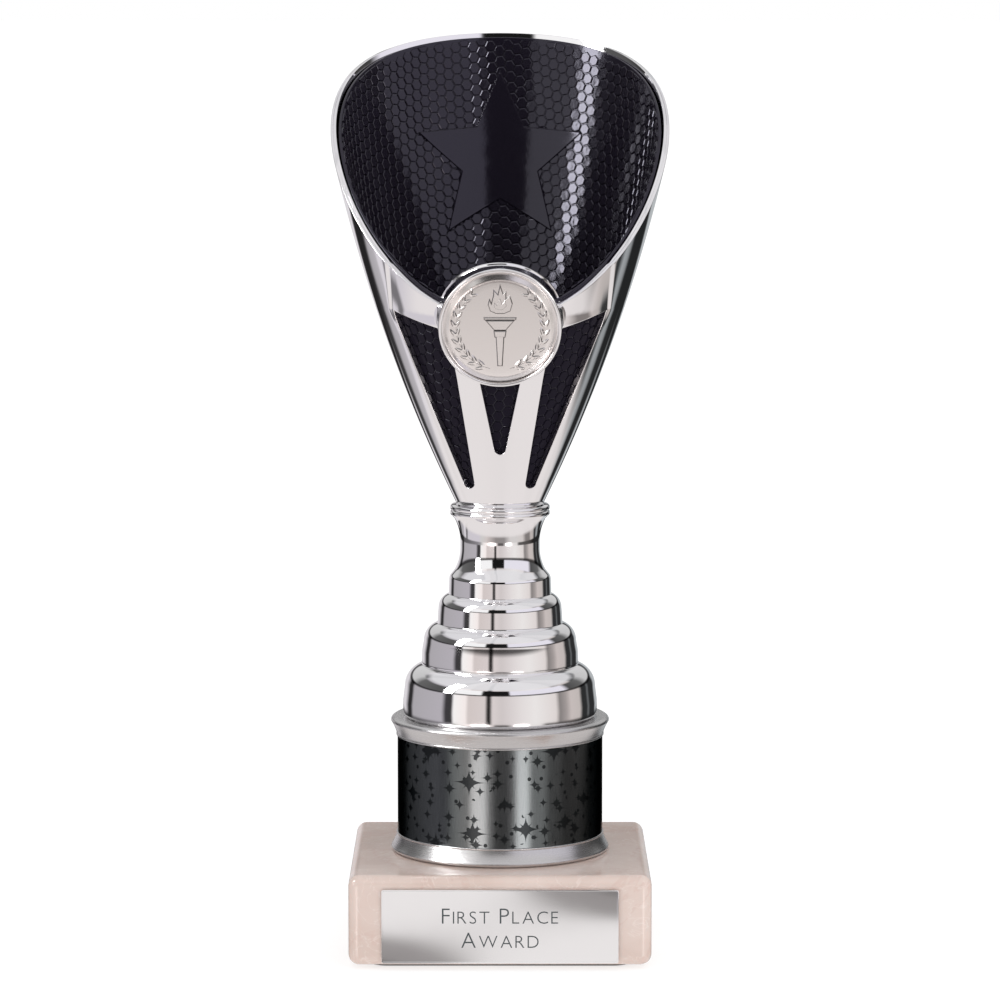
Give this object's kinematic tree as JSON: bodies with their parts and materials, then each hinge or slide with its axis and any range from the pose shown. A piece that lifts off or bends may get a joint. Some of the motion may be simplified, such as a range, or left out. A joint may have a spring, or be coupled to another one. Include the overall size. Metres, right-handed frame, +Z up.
{
  "type": "column trophy",
  "caption": "Award cup with a raked rim and honeycomb lining on a stepped riser, a foil-wrapped column and a square marble base with an engraving plate.",
  "frame": {"origin": "centre of the base's underside, on the rod's axis, on the face that rests on the table", "axes": "+Z up along the column, front (plate and medal) towards -Y, +X to the right when seen from the front"},
  "size_m": [0.076, 0.0762, 0.2038],
  "materials": {
    "pad": "thin matt black foam rubber",
    "marble": "polished pale pink marble",
    "tape": "white double-sided foam tape",
    "plate": "glossy silver engraving plate",
    "zinc": "bright zinc-plated steel",
    "cap": "satin anodised aluminium",
    "tube": "wound card tube, inside the column",
    "foil": "gunmetal brushed foil with darker printed stars",
    "chrome": "bright silver metallised plastic",
    "liner": "gloss black plastic embossed with small hexagons",
    "medal": "satin silver pressed relief"
  },
  "bodies": {
    "root": {"base_pad": "pad", "marble_base": "marble", "plate_tape": "tape", "engraving_plate": "plate", "lower_nut": "zinc", "lower_lock_washer": "zinc", "lower_washer": "zinc", "threaded_rod": "zinc", "lower_cap": "cap", "column_tube": "tube", "foil_sleeve": "foil", "upper_cap": "cap", "riser": "chrome", "cup_shell": "chrome", "cup_liner": "liner", "medal_tape": "tape", "centre_medal": "medal", "cup_washer": "zinc", "cup_nut": "zinc"}
  },
  "joints": []
}
